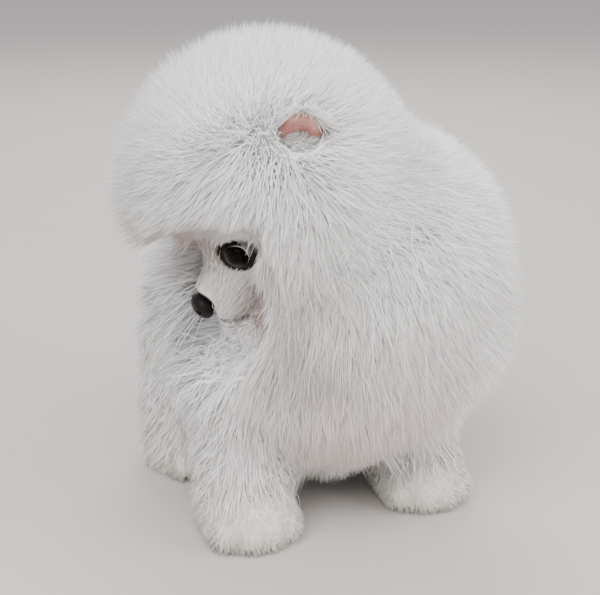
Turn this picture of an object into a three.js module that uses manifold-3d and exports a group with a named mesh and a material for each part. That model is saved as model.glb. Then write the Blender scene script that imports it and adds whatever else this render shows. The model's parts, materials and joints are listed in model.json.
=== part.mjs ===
// A white Pomeranian puppy, life size, standing on four paws with its head turned to its right.
// Millimetres, +Z up, floor at z = 0. The body faces -Y, so the dog's left is +X.
import * as THREE from "three";
import { mergeVertices } from "three/addons/utils/BufferGeometryUtils.js";
import Module from "manifold-3d";

const wasm = await Module();
wasm.setup();

// Driving dimensions, in millimetres and degrees.
const V = (x, y, z) => new THREE.Vector3(x, y, z);
const UP = V(0, 0, 1);
const GAP = 0.3; // between neighbouring nodes
const FAR = 400; // larger than the dog
const FINEST = 0.1; // detail smaller than this is merged
const HEAD_TURN = 88; // from straight ahead to the dog's right
const HEAD_PITCH = 32; // nose down
const SKULL = new THREE.Vector3(-29, -2, 130); // centre of the skull
const COAT_SINK = 7; // how far a lock's root goes into its core
const LOCK_THICK = 4.2; // thickest part of a broad lock
const LOCK_STEPS = 2; // bends along a lock
const HEAD_SPARE = 4; // free room past the coat of the head
const SEED = 20240611;

// The head, in its own frame: centres and radii run along forward, left and up.
const CROWN_CORE = { centre: [-11, 0, 9], radii: [40, 42, 42] };
const CROWN_TIPS = { centre: [-8, 0, 12], radii: [63, 63, 63] };
const CHEEK_CORE = { centre: [-8, 24, -13], radii: [18, 15, 20] };
const CHEEK_TIPS = { centre: [-16, 30, -18], radii: [34, 32, 38] };
const MUZZLE = { centre: [23.5, 0, -13.5], radii: [15.5, 11.5, 11] };
const LIP = { centre: [29.5, 4.6, -18.5], radii: [8.5, 5.4, 6.8] };
const JAW = { centre: [24, 0, -25], radii: [14, 8, 6.4] };
const MOUTH = { centre: [33.6, 0, -24.6], radius: 12.5, wire: 0.55 };
const EYE = { centre: [17, 13.4, 2], radius: 6.8 };
const NOSE = { centre: [38.9, 0, -13.2], radii: [4.6, 6, 5.4] };
const NOSTRIL = { centre: [42.7, 3, -13.4], radii: [2.4, 1.5, 1.2] };
const EAR = { root: [-20, 26, 24], tip: [-26, 46, 48], width: 13, thick: 5, cup: 3.6 };
const EAR_PARTING = { start: [-23, 30, 33], end: [-17, 84, 58], radii: [8, 10, 12, 14] };
const FACE_WINDOW = { start: [31, 0, -14], end: [38, 92, 18], radii: [26, 28, 30] };

// The neck and trunk, in the frame of the body.
const RUFF_CORE = { centre: [2, 5, 114], radii: [42, 46, 46] };
const RUFF_TIPS = { centre: [2, 6, 112], radii: [62, 74, 62] };
const CHEST_CORE = { centre: [-6, 3, 84], radii: [44, 52, 44] };
const CHEST_TIPS = { centre: [-4, 3, 82], radii: [62, 84, 62] };
const BELLY_CORE = { centre: [-20, 2, 54], radii: [30, 22, 30] };
const BELLY_TIPS = { centre: [-20, 2, 47], radii: [40, 34, 39] };
const RUMP_CORE = { centre: [-66, 0, 82], radii: [44, 44, 44] };
const RUMP_TIPS = { centre: [-68, 0, 76], radii: [60, 67, 62] };
const TAIL_CORE = { centre: [-88, 0, 134], radii: [26, 15, 13] };
const TAIL_TIPS = { centre: [-84, 0, 136], radii: [40, 38, 28] };

// The legs, each a column from paw to shoulder or hip, with its radii from the paw up.
const LEGS = {
  foreleg_right: { paw: V(-41, -4, 0), top: V(-34, 0, 66), radii: [21, 23, 26, 28] },
  foreleg_left: { paw: V(40, 5, 0), top: V(33, 2, 66), radii: [21, 23, 26, 28] },
  hindleg_right: { paw: V(-39, 66, 0), top: V(-33, 68, 66), radii: [26, 30, 31, 30] },
  hindleg_left: { paw: V(39, 66, 0), top: V(33, 68, 66), radii: [26, 30, 31, 30] },
};
const LEG_COAT = 7; // depth of the coat on a leg
const LEG_RINGS = [0.4, 0.8];
const LEG_LOCKS = 5;
const WRIST = 20; // height of the cut between leg and paw
const PAW = { radii: [25, 20, 17], ahead: 6, lift: 10 };
const TOE = { radii: [8, 6, 8], ahead: 21, lift: 7, step: 8.4 };

// Planes that part the coat between neighbouring nodes.
const NECK_TOP = { point: V(-8, -2, 118), normal: V(-0.59, -0.2, 0.78).normalize() };
const NECK_BASE = { point: V(0, 0, 99), normal: V(-0.22, -0.36, 0.9).normalize() };
const TAIL_SEAT = { point: V(0, 78, 127), normal: V(0, -0.05, 1).normalize() };
const TAIL_ROOM = { half: 52, front: 28, back: 150, tall: 80 };

// Colours seen on the animal.
const WHITE_COAT = 0xf3efe9;
const CREAM_COAT = 0xefe6d8;
const PINK_SKIN = 0xc98a84;
const NOSE_BLACK = 0x17120f;
const EYE_BLACK = 0x120c0a;

// A small repeatable random source, so that each build gives the same coat.
let randomState = SEED;
function random(low, high) {
  randomState = (Math.imul(randomState, 1664525) + 1013904223) >>> 0;
  return low + ((high - low) * randomState) / 4294967296;
}

// Frames: a set of forward, left and up directions with an origin.
function frameAt(origin, forward, up) {
  const f = forward.clone().normalize();
  const l = up.clone().cross(f).normalize();
  const u = f.clone().cross(l).normalize();
  const at = (a, b, c) => origin.clone().addScaledVector(f, a).addScaledVector(l, b).addScaledVector(u, c);
  const matrix = new THREE.Matrix4().makeBasis(f, l, u).setPosition(origin);
  return { origin, f, l, u, at, matrix };
}

const turn = THREE.MathUtils.degToRad(HEAD_TURN);
const pitch = THREE.MathUtils.degToRad(HEAD_PITCH);
const facing = V(-Math.sin(turn), -Math.cos(turn), 0);
const headForward = facing.clone().multiplyScalar(Math.cos(pitch)).addScaledVector(UP, -Math.sin(pitch));
const head = frameAt(SKULL, headForward, UP);
const body = frameAt(V(0, 0, 0), V(0, -1, 0), UP);

// A closed body from a surface, with its matching corners made one.
function solid(geometry, matrix = new THREE.Matrix4()) {
  const moved = geometry.clone().applyMatrix4(matrix);
  moved.deleteAttribute("normal");
  moved.deleteAttribute("uv");
  const merged = mergeVertices(moved, 1e-4);
  const mesh = new wasm.Mesh({
    numProp: 3,
    vertProperties: new Float32Array(merged.attributes.position.array),
    triVerts: new Uint32Array(merged.index.array),
  });
  return new wasm.Manifold(mesh);
}

const joined = (pieces) => pieces.reduce((all, piece) => all.add(piece));

// The largest closed body, with edges shorter than a hair's width merged.
function largest(made) {
  const bodies = made.simplify(FINEST).decompose();
  return bodies.reduce((best, one) => (one.volume() > best.volume() ? one : best));
}

// An ellipsoid in a frame: its centre and radii are along forward, left and up.
function egg(frame, centre, radii, grow = 0, detail = 20) {
  const geometry = new THREE.SphereGeometry(1, detail, Math.round(detail * 0.7));
  geometry.rotateX(Math.PI / 2);
  geometry.scale(radii[0] + grow, radii[1] + grow, radii[2] + grow);
  geometry.translate(...centre);
  return solid(geometry, frame.matrix);
}

// Everything on one side of a plane, from the plane onwards along its normal.
function halfSpace(point, normal, offset = 0) {
  const n = normal.clone().normalize();
  const geometry = new THREE.BoxGeometry(FAR, FAR, FAR);
  geometry.translate(0, 0, FAR / 2 + offset);
  const turned = new THREE.Matrix4().makeRotationFromQuaternion(
    new THREE.Quaternion().setFromUnitVectors(UP, n),
  );
  turned.setPosition(point);
  return solid(geometry, turned);
}

// A round column along a straight axis, with its radii at even steps.
function column(bottom, top, radii, grow = 0, sides = 14) {
  const axis = top.clone().sub(bottom);
  const length = axis.length();
  const profile = [new THREE.Vector2(0, -grow)];
  radii.forEach((r, i) => {
    const share = i / (radii.length - 1);
    const y = length * share + (share - 0.5) * 2 * grow;
    profile.push(new THREE.Vector2(r + grow, y));
  });
  profile.push(new THREE.Vector2(0, length + grow));
  const geometry = new THREE.LatheGeometry(profile, sides);
  const turned = new THREE.Matrix4().makeRotationFromQuaternion(
    new THREE.Quaternion().setFromUnitVectors(V(0, 1, 0), axis.normalize()),
  );
  turned.setPosition(bottom);
  return solid(geometry, turned);
}

const above = (plane) => ({ point: plane.point, normal: plane.normal });
const below = (plane) => ({ point: plane.point, normal: plane.normal.clone().negate() });

// Moves a point on to its own side of each plane, so that a lock bends clear of the next node.
function keptClear(p, walls, margin) {
  for (const wall of walls) {
    const distance = p.clone().sub(wall.point).dot(wall.normal);
    if (distance < margin) p.addScaledVector(wall.normal, margin - distance);
  }
  return p;
}

// A flat tapered lock: a four-sided cone, widened, flattened and bent along a curve.
function lock(root, middle, tip, outward, width) {
  const curve = new THREE.QuadraticBezierCurve3(root, middle, tip);
  const geometry = new THREE.ConeGeometry(1, 1, 4, LOCK_STEPS);
  const place = geometry.attributes.position;
  for (let i = 0; i < place.count; i++) {
    const along = THREE.MathUtils.clamp(place.getY(i) + 0.5, 0, 1);
    const narrowing = Math.max(1 - along, 1e-6);
    const swell = along < 1 ? Math.min(0.8 + 0.6 * along, 1.9 * (1 - along) ** 0.8) : 0;
    const across = (place.getX(i) / narrowing) * (width / 2) * swell;
    const thinning = along < 1 ? 0.35 + 0.65 * narrowing : 0;
    const through = (place.getZ(i) / narrowing) * (LOCK_THICK / 2) * thinning;
    const point = curve.getPoint(along);
    const tangent = curve.getTangent(along);
    const side = tangent.clone().cross(outward).normalize();
    const face = side.clone().cross(tangent).normalize();
    point.addScaledVector(side, across).addScaledVector(face, through);
    place.setXYZ(i, point.x, point.y, point.z);
  }
  return solid(geometry);
}

// Even directions over a sphere, by the golden angle.
function spread(count) {
  const golden = Math.PI * (3 - Math.sqrt(5));
  return Array.from({ length: count }, (_, i) => {
    const z = 1 - (2 * (i + 0.5)) / count;
    const r = Math.sqrt(1 - z * z);
    return V(r * Math.cos(golden * i), r * Math.sin(golden * i), z);
  });
}

// Locks that grow from an inner ellipsoid and reach an outer one.
// rule(direction) gives the sweep of a lock, in the frame's own axes, or null where none grows.
// A lock that stands straight out is turned at random about its own length.
function coat({ frame, core, tips, count, width, walls, rule }) {
  const locks = [];
  const margin = LOCK_THICK / 2 + GAP;
  for (const direction of spread(count)) {
    const made = rule(direction);
    if (!made) continue;
    const swept = direction.clone().add(made.sweep).normalize();
    const place = (shell, way, inward) =>
      frame.at(...[0, 1, 2].map((k) => shell.centre[k] + way.getComponent(k) * (shell.radii[k] - inward)));
    const root = place(core, direction, COAT_SINK);
    const surface = place(core, direction, 0);
    const full = place(tips, swept, 0);
    const tip = surface.clone().lerp(full, random(0.92, 1.06));
    const outward = surface.clone().sub(root).normalize();
    const middle = surface.clone().addScaledVector(outward, surface.distanceTo(tip) * 0.45);
    keptClear(middle, walls, margin);
    keptClear(tip, walls, margin);
    const side = surface.clone().sub(frame.at(...core.centre)).dot(outward);
    if (side <= 0) continue;
    const leaning = tip.clone().sub(root).normalize();
    const facingOut = outward.clone().addScaledVector(leaning, -outward.dot(leaning));
    if (facingOut.length() < 0.3) facingOut.copy(frame.u).addScaledVector(frame.l, random(-2, 2));
    facingOut.addScaledVector(leaning, -facingOut.dot(leaning)).normalize();
    locks.push(lock(root, middle, tip, facingOut, width * random(0.88, 1.12)));
  }
  return locks;
}

// Territories that part one node's coat from the next.
// The head's territory is the ball of its coat, beyond the plane of the neck.
function headRoom(grow) {
  const ball = [egg(head, CROWN_TIPS.centre, CROWN_TIPS.radii, HEAD_SPARE + grow, 18)];
  for (const side of [1, -1]) {
    ball.push(egg(head, mirrored(CHEEK_TIPS.centre, side), CHEEK_TIPS.radii, HEAD_SPARE + grow, 14));
  }
  return joined(ball).intersect(headSide(-grow / 2));
}

const headSide = (offset) => halfSpace(NECK_TOP.point, NECK_TOP.normal, offset);
const neckSide = (offset) => halfSpace(NECK_BASE.point, NECK_BASE.normal, offset);
const floor = solid(new THREE.BoxGeometry(FAR, FAR, FAR).translate(0, 0, -FAR / 2));

function tailRoom(grow) {
  const room = TAIL_ROOM;
  const long = room.back - room.front;
  const geometry = new THREE.BoxGeometry(2 * room.half + 2 * grow, long + 2 * grow, room.tall);
  geometry.translate(0, (room.front + room.back) / 2 - TAIL_SEAT.point.y, room.tall / 2 - grow);
  const turned = new THREE.Matrix4().makeRotationFromQuaternion(
    new THREE.Quaternion().setFromUnitVectors(UP, TAIL_SEAT.normal),
  );
  turned.setPosition(TAIL_SEAT.point);
  return solid(geometry, turned);
}

// The head: skull, brow, muzzle, lips and lids, with the mane of the crown and cheeks.
const FACE_AXIS = V(0.86, 0, -0.51);
const HEAD_DOWN = V(Math.sin(pitch), 0, -Math.cos(pitch)); // straight down, in the head's own axes
const mirrored = (centre, side) => [centre[0], centre[1] * side, centre[2]];

function eyeball(side, grow = 0) {
  const r = EYE.radius;
  return egg(head, mirrored(EYE.centre, side), [r, r, r], grow, 12);
}

// A ring of skin round each eye.
function lids(side) {
  const ahead = head.f.clone().addScaledVector(head.l, 0.75 * side);
  const look = frameAt(head.at(...mirrored(EYE.centre, side)), ahead, head.u);
  const geometry = new THREE.TorusGeometry(EYE.radius - 0.5, 1.3, 5, 12);
  geometry.scale(1.08, 0.84, 1);
  geometry.rotateY(Math.PI / 2);
  geometry.translate(3.4, 0, 0.1);
  return solid(geometry, look.matrix);
}

function noseLeather(grow = 0) {
  const tipOfNose = egg(head, NOSE.centre, NOSE.radii, grow, 12);
  if (grow) return tipOfNose;
  return [1, -1].reduce(
    (made, side) => made.subtract(egg(head, mirrored(NOSTRIL.centre, side), NOSTRIL.radii, 0, 6)),
    tipOfNose,
  );
}

// The pricked ear: a flattened cone with a hollow front.
function ear(side, grow = 0, hollow = true) {
  const root = head.at(...mirrored(EAR.root, side));
  const tip = head.at(...mirrored(EAR.tip, side));
  const opening = head.f.clone().multiplyScalar(0.4).addScaledVector(head.l, 0.9 * side).normalize();
  const along = tip.clone().sub(root);
  const shape = (wide, thick, start, end, shift) => {
    const geometry = new THREE.SphereGeometry(1, 12, 8);
    const place = geometry.attributes.position;
    for (let i = 0; i < place.count; i++) {
      const y = place.getY(i);
      const taper = 1 - 0.35 * y;
      const x = place.getX(i) * wide * taper;
      const z = place.getZ(i) * thick * taper + shift;
      place.setXYZ(i, x, THREE.MathUtils.lerp(start, end, (y + 1) / 2), z);
    }
    const y = along.clone().normalize();
    const z = opening.clone().addScaledVector(y, -opening.dot(y)).normalize();
    const x = y.clone().cross(z);
    return solid(geometry, new THREE.Matrix4().makeBasis(x, y, z).setPosition(root));
  };
  const length = along.length();
  const outer = shape(EAR.width / 1.3 + grow, EAR.thick + grow, -2 - grow, length + grow, 0);
  if (!hollow) return outer.add(shape(EAR.width / 1.3, EAR.thick * 2.2, 4, length, EAR.thick * 1.6));
  return outer.subtract(shape(EAR.width / 1.3 - 2.6, EAR.thick, 5, length - 3.5, EAR.cup));
}

// The parting in the coat that leaves the ear's cup in sight.
function earParting(side) {
  const start = head.at(...mirrored(EAR_PARTING.start, side));
  const end = head.at(...mirrored(EAR_PARTING.end, side));
  return column(start, end, EAR_PARTING.radii, 0, 10);
}

// The opening in the coat round the muzzle and eyes, wider towards each side.
function faceWindow() {
  const { start, end, radii } = FACE_WINDOW;
  const towards = (side) => column(head.at(...start), head.at(...mirrored(end, side)), radii, 0, 16);
  return joined([towards(1), towards(-1)]);
}

function faceCore() {
  const parts = [
    egg(head, [0, 0, 1], [27, 26, 25], 0, 14),
    egg(head, MUZZLE.centre, MUZZLE.radii, 0, 14),
    egg(head, JAW.centre, JAW.radii, 0, 12),
  ];
  for (const side of [1, -1]) {
    parts.push(egg(head, mirrored(LIP.centre, side), LIP.radii, 0, 10));
    parts.push(lids(side));
  }
  return parts;
}

// The line of the mouth: a thin ring that runs round under the lips.
function mouthLine() {
  const geometry = new THREE.TorusGeometry(MOUTH.radius, MOUTH.wire, 4, 20);
  geometry.scale(1.25, 0.72, 1);
  geometry.translate(MOUTH.centre[0] - 12, MOUTH.centre[1], MOUTH.centre[2]);
  return solid(geometry, head.matrix);
}

// Hair stands out round the face, lies back from it further off, and hangs a little everywhere.
function crownRule(way) {
  const towardsFace = way.dot(FACE_AXIS);
  if (towardsFace > 0.62 && way.z < 0.1) return null;
  const near = THREE.MathUtils.smoothstep(towardsFace, 0, 0.6);
  const far = THREE.MathUtils.smoothstep(-towardsFace, -0.4, 0.5);
  const lie = FACE_AXIS.clone().multiplyScalar(0.28 * near - 0.45 * far);
  return { sweep: lie.addScaledVector(HEAD_DOWN, 0.12) };
}

const cheekRule = (side) => (way) => {
  if (way.y * side < 0 || way.x > 0.45 || way.z > 0.6) return null;
  return { sweep: V(-0.5, 0, 0).addScaledVector(HEAD_DOWN, 0.5) };
};

function headCoat() {
  const walls = [above(NECK_TOP)];
  const crown = { core: CROWN_CORE, tips: CROWN_TIPS, count: 74, width: 28, rule: crownRule };
  const locks = coat({ frame: head, walls, ...crown });
  for (const side of [1, -1]) {
    const shell = ({ centre, radii }) => ({ centre: mirrored(centre, side), radii });
    const cheek = { core: shell(CHEEK_CORE), tips: shell(CHEEK_TIPS), rule: cheekRule(side) };
    locks.push(...coat({ frame: head, ...cheek, count: 18, width: 20, walls }));
  }
  return locks;
}

function headNode() {
  const cores = [egg(head, CROWN_CORE.centre, CROWN_CORE.radii, 0, 16)];
  for (const side of [1, -1]) {
    cores.push(egg(head, mirrored(CHEEK_CORE.centre, side), CHEEK_CORE.radii, 0, 12));
  }
  const mane = joined([...cores, ...headCoat()]).subtract(faceWindow()).intersect(headRoom(0));
  let made = joined([mane, ...faceCore()]);
  made = made.subtract(mouthLine());
  for (const side of [1, -1]) {
    made = made.subtract(eyeball(side, GAP));
    made = made.subtract(ear(side, 2 * GAP, false).add(earParting(side)));
  }
  made = made.subtract(noseLeather(GAP)).intersect(headSide(GAP / 2));
  return largest(made);
}

// The neck and ruff.
// The ruff falls back and down; under the chin it hangs straight.
const ruffRule = (way) => (way.z < -0.75 ? null : { sweep: V(-0.2, 0, -0.45) });

function neckNode() {
  const walls = [below(NECK_TOP), above(NECK_BASE)];
  const ruff = { core: RUFF_CORE, tips: RUFF_TIPS, count: 46, width: 27, rule: ruffRule };
  const locks = coat({ frame: body, walls, ...ruff });
  const made = joined([egg(body, RUFF_CORE.centre, RUFF_CORE.radii, 0, 14), ...locks])
    .subtract(headRoom(GAP))
    .intersect(neckSide(GAP / 2))
    .subtract(tailRoom(GAP));
  return largest(made);
}

// The trunk: chest and shoulders, belly and rump.
function legRoom(name, grow = 0) {
  const leg = LEGS[name];
  return column(leg.paw.clone().setZ(WRIST), leg.top, leg.radii, grow);
}

// The bib and shoulders hang down, the flanks and rump lie back and down.
const chestRule = (way) => (way.x < -0.55 || way.z > 0.75 ? null : { sweep: V(-0.15, 0, -0.5) });
const bellyRule = (way) => (way.z > -0.1 ? null : { sweep: V(0, 0, -0.3) });
const rumpRule = (way) => (way.x > 0.45 ? null : { sweep: V(-0.35, 0, -0.4) });

function torsoNode() {
  const walls = [below(NECK_BASE)];
  const chest = { core: CHEST_CORE, tips: CHEST_TIPS, count: 46, width: 31, rule: chestRule };
  const rump = { core: RUMP_CORE, tips: RUMP_TIPS, count: 38, width: 31, rule: rumpRule };
  const belly = { core: BELLY_CORE, tips: BELLY_TIPS, count: 30, width: 22, rule: bellyRule };
  const pieces = [chest, belly, rump].flatMap((part) => [
    egg(body, part.core.centre, part.core.radii, 0, 16),
    ...coat({ frame: body, walls, ...part }),
  ]);
  let made = joined(pieces);
  made = made.subtract(neckSide(-GAP / 2)).subtract(tailRoom(GAP)).subtract(headRoom(GAP));
  for (const name of Object.keys(LEGS)) made = made.subtract(legRoom(name, GAP)).subtract(pawForm(name, GAP));
  return largest(made);
}

// A leg's coat: rings of locks that hang close to its bone, one over the next.
function legNode(name) {
  const { paw, top, radii } = LEGS[name];
  const wristCut = halfSpace(V(0, 0, WRIST), UP, GAP / 2);
  const bottom = paw.clone().setZ(WRIST);
  const pieces = [column(bottom, top, radii.map((r) => r - LEG_COAT), 0, 10)];
  LEG_RINGS.forEach((share, ring) => {
    const middle = bottom.clone().lerp(top, share);
    for (let i = 0; i < LEG_LOCKS; i++) {
      const angle = ((i + ring / 2) / LEG_LOCKS) * 2 * Math.PI;
      const out = V(Math.cos(angle), Math.sin(angle), 0);
      const at = (radius, drop) => middle.clone().addScaledVector(out, radius).setZ(middle.z - drop);
      const end = Math.min(random(19, 24), middle.z - WRIST - 1);
      const face = out.clone().addScaledVector(UP, 0.3).normalize();
      const root = at(radii[0] - LEG_COAT - 4, -6);
      pieces.push(lock(root, at(radii[0] + 1, 6), at(radii[0] - 1, end), face, 22));
    }
  });
  return largest(joined(pieces).intersect(legRoom(name)).intersect(wristCut));
}

// A paw: one rounded foot with four toes, flat underneath.
function pawForm(name, grow = 0) {
  const { paw } = LEGS[name];
  const foot = frameAt(paw, V(0, -1, 0), UP);
  const pieces = [egg(foot, [PAW.ahead, 0, PAW.lift], PAW.radii, grow, 14)];
  for (const toe of [-1.5, -0.5, 0.5, 1.5]) {
    const back = Math.abs(toe) > 1 ? 4.5 : 0;
    pieces.push(egg(foot, [TOE.ahead - back, toe * TOE.step, TOE.lift], TOE.radii, grow, 8));
  }
  return joined(pieces);
}

function pawNode(name) {
  const wristCut = halfSpace(V(0, 0, WRIST), UP, -GAP / 2);
  return largest(pawForm(name).subtract(wristCut).subtract(floor));
}

// The tail, carried over the back, with its plume.
const tailRule = (way) => (way.z < -0.5 ? null : { sweep: V(-0.5, 0, 0) });

function tailNode() {
  const walls = [above(TAIL_SEAT)];
  const plume = { core: TAIL_CORE, tips: TAIL_TIPS, count: 20, width: 22, rule: tailRule };
  const locks = coat({ frame: body, walls, ...plume });
  const made = joined([egg(body, TAIL_CORE.centre, TAIL_CORE.radii, 0, 12), ...locks])
    .intersect(tailRoom(0))
    .subtract(headRoom(GAP));
  return largest(made);
}

// Materials and meshes.
const finish = (color, roughness) => new THREE.MeshStandardMaterial({ color, roughness, metalness: 0 });
const coatFinish = finish(WHITE_COAT, 0.95);
const pawFinish = finish(CREAM_COAT, 0.95);
const earFinish = finish(PINK_SKIN, 0.8);
const noseFinish = finish(NOSE_BLACK, 0.35);
const eyeFinish = finish(EYE_BLACK, 0.08);

const puppy = new THREE.Group();

function addNode(name, made, material) {
  const mesh = made.getMesh();
  const place = new Float32Array(mesh.numVert * 3);
  for (let i = 0; i < mesh.numVert; i++) {
    place.set(mesh.vertProperties.subarray(i * mesh.numProp, i * mesh.numProp + 3), i * 3);
  }
  const geometry = new THREE.BufferGeometry();
  geometry.setAttribute("position", new THREE.BufferAttribute(place, 3));
  geometry.setIndex(new THREE.BufferAttribute(mesh.triVerts, 1));
  geometry.computeVertexNormals();
  const node = new THREE.Mesh(geometry, material);
  node.name = name;
  puppy.add(node);
}

addNode("head", headNode(), coatFinish);
addNode("nose", noseLeather(), noseFinish);
for (const [word, side] of [["left", 1], ["right", -1]]) {
  addNode("eye_" + word, eyeball(side), eyeFinish);
  addNode("ear_" + word, largest(ear(side)), earFinish);
}
addNode("neck", neckNode(), coatFinish);
addNode("torso", torsoNode(), coatFinish);
addNode("tail", tailNode(), coatFinish);
for (const name of Object.keys(LEGS)) {
  addNode(name, legNode(name), coatFinish);
  addNode(name.replace("leg", "paw"), pawNode(name), pawFinish);
}

// The origin stands on the floor under the middle of the dog.
const reach = new THREE.Box3().setFromObject(puppy);
const middle = reach.getCenter(V(0, 0, 0));
puppy.position.set(-middle.x, -middle.y, -reach.min.z);

export default puppy;
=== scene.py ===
"""A white Pomeranian puppy, standing with its head turned to its right, dressed for a still picture.

Lengths in the classes are millimetres in the dog's own frame: it faces -Y, its left is +X and the
floor is z = 0. Meshes are written in metres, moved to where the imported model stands.
"""

import json
import logging
import math
from dataclasses import dataclass, field
from enum import Enum

import bpy
import numpy as np
from mathutils import Matrix, Vector, kdtree

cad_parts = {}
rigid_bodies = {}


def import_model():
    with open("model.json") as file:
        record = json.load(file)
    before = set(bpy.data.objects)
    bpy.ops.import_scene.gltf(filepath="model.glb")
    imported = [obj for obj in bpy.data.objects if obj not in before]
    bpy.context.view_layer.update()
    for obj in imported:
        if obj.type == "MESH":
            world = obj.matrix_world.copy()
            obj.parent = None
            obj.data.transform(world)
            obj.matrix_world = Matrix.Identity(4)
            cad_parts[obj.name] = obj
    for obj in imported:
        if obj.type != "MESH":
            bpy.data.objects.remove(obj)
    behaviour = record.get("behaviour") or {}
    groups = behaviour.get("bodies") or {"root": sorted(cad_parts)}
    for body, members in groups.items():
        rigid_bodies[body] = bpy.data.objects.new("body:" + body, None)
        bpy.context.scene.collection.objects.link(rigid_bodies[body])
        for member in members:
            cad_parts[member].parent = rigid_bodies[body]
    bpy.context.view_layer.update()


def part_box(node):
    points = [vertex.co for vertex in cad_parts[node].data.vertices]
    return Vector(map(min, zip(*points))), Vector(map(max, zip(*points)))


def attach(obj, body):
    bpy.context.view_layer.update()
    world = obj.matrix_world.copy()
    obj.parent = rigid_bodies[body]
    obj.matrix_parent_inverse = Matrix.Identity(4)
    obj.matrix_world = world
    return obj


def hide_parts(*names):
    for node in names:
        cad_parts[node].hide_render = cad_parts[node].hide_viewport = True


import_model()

logging.basicConfig(level=logging.INFO, format="%(message)s")
LOG = logging.getLogger("puppy")

SEED = 8
MM = 0.001
RANDOM = np.random.default_rng(SEED)


class Zone(Enum):
    """Where a tuft grows."""

    HEAD = "head"
    FACE = "face"
    RUFF = "ruff"
    CHEST = "chest"
    RUMP = "rump"
    BELLY = "belly"
    TAIL = "tail"
    LEG = "leg"
    PAW = "paw"


class Kind(Enum):
    """The kinds of tuft: long bent locks, fine straight hair and the broad undercoat."""

    BENT = "coat"
    FINE = "fine"
    UNDER = "undercoat"


def unit(v: np.ndarray) -> np.ndarray:
    """Vectors of length one along the last axis."""
    return v / np.maximum(np.linalg.norm(v, axis=-1, keepdims=True), 1e-9)


def smooth_step(value: np.ndarray, low: float, high: float) -> np.ndarray:
    """A soft step from 0 at low to 1 at high."""
    t = np.clip((value - low) / (high - low), 0.0, 1.0)
    return t * t * (3 - 2 * t)


@dataclass(frozen=True)
class Axes:
    """A forward, left and up frame with its own origin."""

    origin: np.ndarray
    forward: np.ndarray
    left: np.ndarray
    up: np.ndarray

    @property
    def rows(self) -> np.ndarray:
        """The three directions as the rows of a matrix."""
        return np.stack([self.forward, self.left, self.up])

    def at(self, flu: np.ndarray) -> np.ndarray:
        """Points given along forward, left and up, in the dog's frame."""
        return self.origin + np.asarray(flu, float) @ self.rows

    def to(self, points: np.ndarray) -> np.ndarray:
        """Points of the dog's frame, along forward, left and up."""
        return (points - self.origin) @ self.rows.T


def head_axes(turn: float, pitch: float, centre: tuple[float, float, float]) -> Axes:
    """The frame of the head.

    Args:
        turn: Degrees from straight ahead to the dog's right.
        pitch: Degrees that the nose points down.
        centre: The centre of the skull.

    Returns:
        The frame, with forward along the muzzle.
    """
    t, p = math.radians(turn), math.radians(pitch)
    level = np.array([-math.sin(t), -math.cos(t), 0.0])
    forward = level * math.cos(p) - np.array([0, 0, math.sin(p)])
    left = unit(np.cross([0.0, 0.0, 1.0], forward))
    return Axes(np.array(centre, float), forward, left, np.cross(forward, left))


HEAD = head_axes(88, 32, (-29, -2, 130))
BODY = Axes(np.zeros(3), np.array([0.0, -1, 0]), np.array([1.0, 0, 0]), np.array([0.0, 0, 1]))


@dataclass(frozen=True)
class Egg:
    """An ellipsoid: its centre and radii run along forward, left and up."""

    axes: Axes
    centre: tuple[float, float, float]
    radii: tuple[float, float, float]

    def distance(self, points: np.ndarray, grow: float = 0.0) -> np.ndarray:
        """Rough distance outside the surface, negative inside.

        Args:
            points: Places in the dog's frame.
            grow: How much larger each radius is taken.

        Returns:
            A distance for each place.
        """
        r = np.array(self.radii) + grow
        q = self.axes.to(points) - np.array(self.centre)
        near = np.linalg.norm(q / r, axis=-1)
        slope = np.linalg.norm(q / (r * r), axis=-1)
        return near * (near - 1.0) / np.maximum(slope, 1e-9)

    def mirrored(self) -> "Egg":
        """The same egg on the dog's other side."""
        return Egg(self.axes, (self.centre[0], -self.centre[1], self.centre[2]), self.radii)


@dataclass(frozen=True)
class Column:
    """A round column whose radius changes evenly from start to end."""

    start: tuple[float, float, float]
    end: tuple[float, float, float]
    radius: tuple[float, float]

    def share(self, points: np.ndarray) -> np.ndarray:
        """How far along the column points are, from 0 to 1."""
        a, b = np.array(self.start, float), np.array(self.end, float)
        return np.clip((points - a) @ (b - a) / ((b - a) @ (b - a)), 0, 1)

    def distance(self, points: np.ndarray) -> np.ndarray:
        """Distance outside the column, negative inside.

        Args:
            points: Places in the dog's frame.

        Returns:
            A distance for each place.
        """
        a, b = np.array(self.start, float), np.array(self.end, float)
        t = self.share(points)
        r = self.radius[0] + (self.radius[1] - self.radius[0]) * t
        return np.linalg.norm(points - (a + t[:, None] * (b - a)), axis=-1) - r


def blend_min(a: np.ndarray, b: np.ndarray, k: float) -> np.ndarray:
    """The smaller of two distances, with a fillet of about k where they meet."""
    h = np.clip(0.5 + 0.5 * (b - a) / k, 0, 1)
    return b + (a - b) * h - k * h * (1 - h)


def blend_max(a: np.ndarray, b: np.ndarray, k: float) -> np.ndarray:
    """The larger of two distances, with a rounded edge of about k."""
    return -blend_min(-a, -b, k)


@dataclass(frozen=True)
class LegPlan:
    """One leg: the paw's place on the floor and the top at the shoulder or hip."""

    name: str
    paw: tuple[float, float]
    top: tuple[float, float]
    fur: tuple[float, float]


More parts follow.
